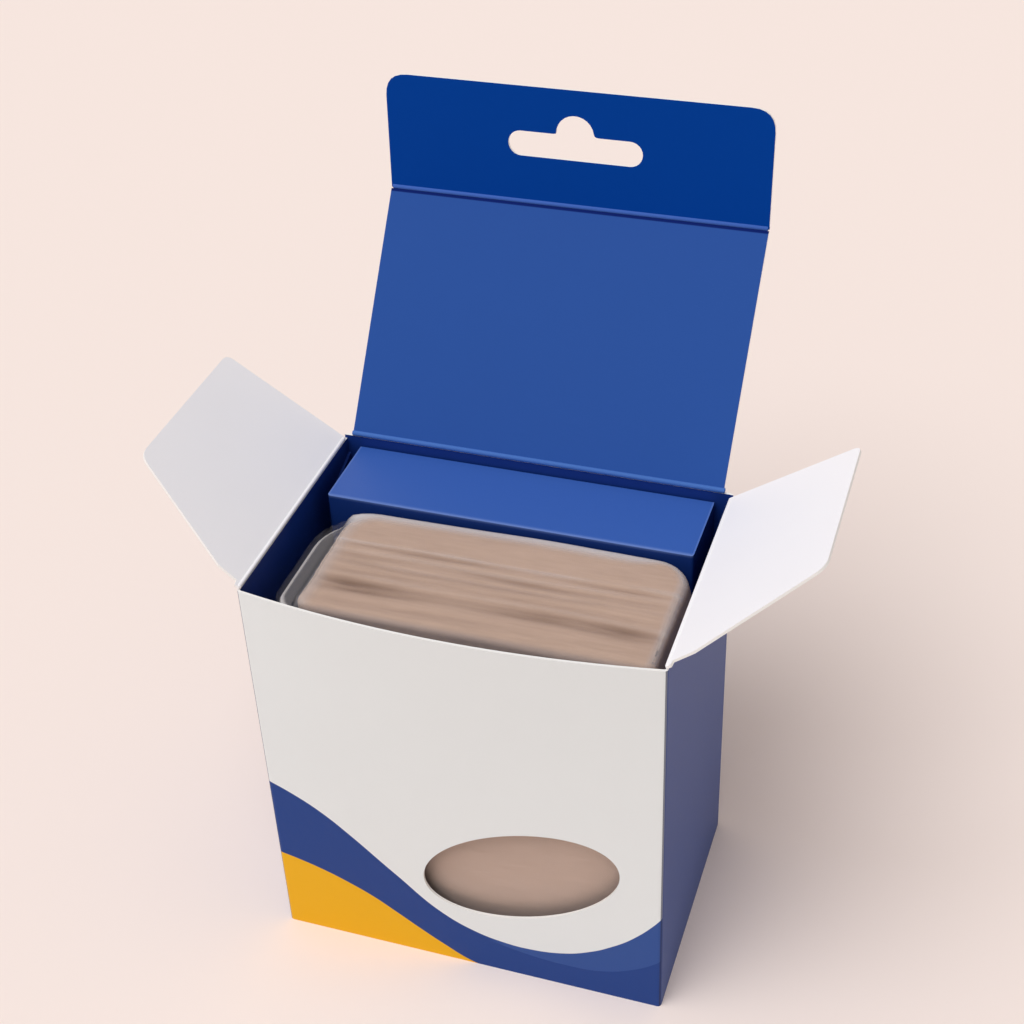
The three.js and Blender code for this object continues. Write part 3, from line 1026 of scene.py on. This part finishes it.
@dataclass
class Bag:
    """The clear bag around the bundle, close to it except at its left end.

    Lengths are in millimetres. A wrinkle is its place from the back to the front, 0 to 1, and
    its strength.
    """

    bundle: Bundle
    finish: FilmFinish = FilmFinish()
    haze_and_highlight: HazeAndHighlight = HazeAndHighlight()
    node: str = "film_bag"
    corners: tuple[float, ...] = (6.0, 2.9, 8.3, 13.0)
    edge: float = 2.5
    edge_steps: int = 10
    slices: tuple[float, ...] = (1.0, 0.6, 3.0)
    film: float = 0.07
    slack: float = 0.05
    stand_off: float = 0.12
    left_reach: float = 1.0
    loose_past: float = 1.2
    loose_width: float = 2.4
    loose_drop: float = 3.4
    fold_share: float = 0.45
    fold_start: float = 2.0
    fold_width: float = 5.0
    fine_height: float = 0.2
    fine_width: float = 0.45
    wrinkles: tuple[Point, ...] = ((0.345, 0.5), (0.43, 0.2), (0.52, 0.15), (0.66, 0.15))

    def wrinkle(self, across: float, along: float, width: float) -> float:
        """How strong the film's fine wrinkles are at a place, 0 to 1. They also make the film
        hazier along each line, as painted highlight.

        Args:
            across: the place from the back to the front, 0 to 1.
            along: the place along X, in millimetres.
            width: the bundle's depth in millimetres.
        Returns:
            The strength.
        """
        total = 0.0
        for i, (middle, strength) in enumerate(self.wrinkles):
            sway = noise.noise(Vector((along * 0.03, i * 5.1, 3.3))) * 0.03
            here = max(0.0, 0.6 + 1.1 * noise.noise(Vector((along * 0.05, i * 2.7, 6.1))))
            far = (across - middle - sway) * width / self.fine_width
            total += strength * here * math.exp(-(far**2))
        return min(1.0, total)

    def inset(self, place: Vector, low: Vector, high: Vector) -> float:
        """How far a place lies inside the bundle's rounded back and ends, seen from above.

        Args:
            place: the place, in millimetres.
            low: the bundle's lowest corner, in millimetres.
            high: the bundle's highest corner, in millimetres.
        Returns:
            The distance in millimetres.
        """
        radius = self.bundle.corners[2]
        past_x = abs(place.x - (low.x + high.x) / 2) - (high.x - low.x) / 2 + radius
        past_y = place.y - high.y + radius
        outside = math.hypot(max(past_x, 0), max(past_y, 0))
        return radius - outside - min(max(past_x, past_y), 0)

    def box(self) -> tuple[Vector, Vector]:
        """The bag's corners: a little outside the bundle's, and within its node's height."""
        node_low, node_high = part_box(self.node)
        low, high = self.bundle.box()
        gap = Vector((self.slack, self.slack, self.slack)) * MM
        low, high = low - gap, high + gap
        low.x = node_low.x - self.left_reach * MM
        low.z, high.z = node_low.z, min(high.z, node_high.z)
        return low, high

    def build(self) -> list[bpy.types.Object]:
        """Builds the bag in its node's place."""
        box = self.box()
        mesh = soft_block(*box, self.corners, self.edge, self.edge_steps)
        sliced(mesh, self.slices)
        mesh.normal_update()
        layer = mesh.verts.layers.float.new("haze_and_highlight")
        low, high = (corner / MM for corner in self.bundle.box())
        top, depth = box[1].z / MM, high.y - low.y
        moves = []
        for vert in mesh.verts:
            facing, place = vert.normal.copy(), vert.co / MM
            across, on_top = (high.y - place.y) / depth, max(0.0, facing.z)
            loose = ramp(low.x - place.x, -self.loose_past, self.loose_width)
            folds = self.bundle.crease(across, place.x, depth) * self.fold_share * on_top
            folds *= ramp(place.x - low.x, self.fold_start, self.fold_width)
            fine = self.wrinkle(across, place.x, depth) * on_top * (1 - loose)
            wave = self.bundle.swell(vert.co) * (1 - loose) + self.stand_off
            move = facing * ((wave - folds + fine * self.fine_height) * MM)
            move += self.bundle.bulged(facing, high.z - place.z)
            if facing.z > 0.02:
                move.z -= self.loose_drop * loose * MM
            moves.append(move)
            band = self.haze_and_highlight.around(place, facing, self.inset(place, low, high), low, high)
            vert[layer] = self.haze_and_highlight.level(facing, band, loose, fine, top - place.z)
        for vert, move in zip(mesh.verts, moves):
            vert.co += move
        bmesh.ops.solidify(mesh, geom=mesh.faces, thickness=self.film * MM)
        made = object_of(mesh, "clear_bag", self.finish.dress("clear_wrap"))
        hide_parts(self.node)
        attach(made, "carton")
        return [made]


@dataclass
class Studio:
    """The floor, the light and the camera."""

    floor_reach: float = 6.0
    place: Triple = (0.107646, -0.28651, 0.339266)
    azimuth: float = 19.70
    elevation: float = 36.44
    roll: float = -2.62
    lens: float = 61.53
    sky: float = 0.51
    sky_lean: float = 0.4
    sky_tone: Colour = (1.0, 0.925, 0.875)
    seen_sky: Colour = ink(248, 232, 225)
    key_tone: Colour = (0.975, 1.0, 1.04)
    key_toward: Triple = (-0.10, -0.19, 0.43)
    key_share: float = 0.56
    key_spread: float = 46.0

    def floor(self) -> bpy.types.Object:
        """A wide round floor at the height that the carton stands on."""
        mesh = bmesh.new()
        bmesh.ops.create_circle(mesh, cap_ends=True, segments=64, radius=self.floor_reach)
        paint = FloorFinish().dress("studio_floor_paint")
        made = object_of(mesh, "studio_floor", paint, smooth=False)
        return made

    def light_sky(self) -> None:
        """A soft sky, a little brighter on the left, that is one plain tone where it is seen."""
        world = bpy.data.worlds.new("studio_sky")
        bpy.context.scene.world = world
        world.use_nodes = True
        nodes, links = world.node_tree.nodes, world.node_tree.links
        nodes.clear()
        where, parts = nodes.new("ShaderNodeTexCoord"), nodes.new("ShaderNodeSeparateXYZ")
        lean = nodes.new("ShaderNodeMath")
        lean.operation = "MULTIPLY_ADD"
        links.new(where.outputs["Generated"], parts.inputs[0])
        links.new(parts.outputs[0], lean.inputs[0])
        lean.inputs[1].default_value = -self.sky * self.sky_lean
        lean.inputs[2].default_value = self.sky
        even, seen = nodes.new("ShaderNodeBackground"), nodes.new("ShaderNodeBackground")
        even.inputs[0].default_value = (*self.sky_tone, 1)
        links.new(lean.outputs[0], even.inputs[1])
        seen.inputs[0].default_value = (*self.seen_sky, 1)
        seen.inputs[1].default_value = 1.0
        path = nodes.new("ShaderNodeLightPath")
        either, rays = nodes.new("ShaderNodeMath"), nodes.new("ShaderNodeMath")
        either.operation = rays.operation = "MAXIMUM"
        links.new(path.outputs["Is Camera Ray"], either.inputs[0])
        links.new(path.outputs["Is Glossy Ray"], either.inputs[1])
        links.new(either.outputs[0], rays.inputs[0])
        links.new(path.outputs["Is Transmission Ray"], rays.inputs[1])
        mix, ending = nodes.new("ShaderNodeMixShader"), nodes.new("ShaderNodeOutputWorld")
        links.new(rays.outputs[0], mix.inputs[0])
        links.new(even.outputs[0], mix.inputs[1])
        links.new(seen.outputs[0], mix.inputs[2])
        links.new(mix.outputs[0], ending.inputs[0])

    def light_key(self) -> None:
        """One broad lamp, which throws the shadow to the right."""
        data = bpy.data.lights.new("key_lamp", "SUN")
        data.energy = self.key_share * math.pi
        data.color = self.key_tone
        data.angle = math.radians(self.key_spread)
        lamp = bpy.data.objects.new("key_lamp", data)
        bpy.context.scene.collection.objects.link(lamp)
        lamp.matrix_world = Vector(self.key_toward).to_track_quat("Z", "Y").to_matrix().to_4x4()

    def camera(self) -> None:
        """The camera at the photograph's viewing angle."""
        azimuth, elevation, roll = (
            math.radians(angle) for angle in (self.azimuth, self.elevation, self.roll)
        )
        away = math.cos(elevation)
        back = Vector((math.sin(azimuth) * away, -math.cos(azimuth) * away, math.sin(elevation)))
        right = Vector((math.cos(azimuth), math.sin(azimuth), 0))
        up = back.cross(right)
        across = right * math.cos(roll) + up * math.sin(roll)
        upright = up * math.cos(roll) - right * math.sin(roll)
        turn = Matrix((across, upright, back)).transposed().to_4x4()
        data = bpy.data.cameras.new("photo_camera")
        data.lens = self.lens
        data.clip_start = 0.01
        made = bpy.data.objects.new("photo_camera", data)
        made.matrix_world = Matrix.Translation(Vector(self.place)) @ turn
        bpy.context.scene.collection.objects.link(made)
        bpy.context.scene.camera = made

    def build(self) -> list[bpy.types.Object]:
        """Sets the studio up."""
        bpy.context.scene.view_settings.view_transform = "Standard"
        self.light_sky()
        self.light_key()
        self.camera()
        return [self.floor()]


def panels() -> Iterable[FoldingPanel]:
    """The lid, the tab and the two dust flaps, each with its own colours; the lid's and the tab's
    blues are lit and shaded copies of one print.
    """
    # One blue print, drawn as lit and shaded copies: painted sheen on the leaning lid's blue,
    # painted shade in the tab's darker blue.
    blue, tab_shaded_blue, outside = ink(43, 82, 157), ink(0, 62, 151), ink(36, 70, 140)
    white = ink(249, 248, 250)
    lean, tilt, rise = (math.radians(angle) for angle in (38, 3, 34.5))
    lid_face = (0, -math.cos(lean), math.sin(lean))
    tab_face = (0, -math.cos(tilt), math.sin(tilt))
    # The lid's and the tab's beads are drawn paler than their panels, as painted highlight.
    yield FoldingPanel(
        Swing.LID, blue, outside, ink(70, 112, 186), lid_face, "blue_board",
        gloss=0.03, crease=fold_of(Swing.TAB)["pos_m"][2],
    )
    yield FoldingPanel(
        Swing.TAB, tab_shaded_blue, outside, ink(62, 100, 182), tab_face, "tab_board", gloss=0.03,
    )
    for swing, toward in ((Swing.LEFT, 1), (Swing.RIGHT, -1)):
        face = (toward * math.sin(rise), 0, math.cos(rise))
        yield FoldingPanel(swing, white, white, white, face, "white_board", bead_radius=0.5)


def main() -> None:
    """Builds each sub-assembly in order and reports its pieces."""
    logging.basicConfig(level=logging.INFO, format="%(name)s: %(message)s")
    steps: list[Callable[[], list[bpy.types.Object]]] = [Studio().build, Carton().build]
    steps += [panel.build for panel in panels()]
    bundle = Bundle()
    steps += [Spacer().build, bundle.build, Bag(bundle).build]
    for step in steps:
        for piece in step():
            log.info("%s: %d faces", piece.name, len(piece.data.polygons))


if __name__ == "__main__":
    main()
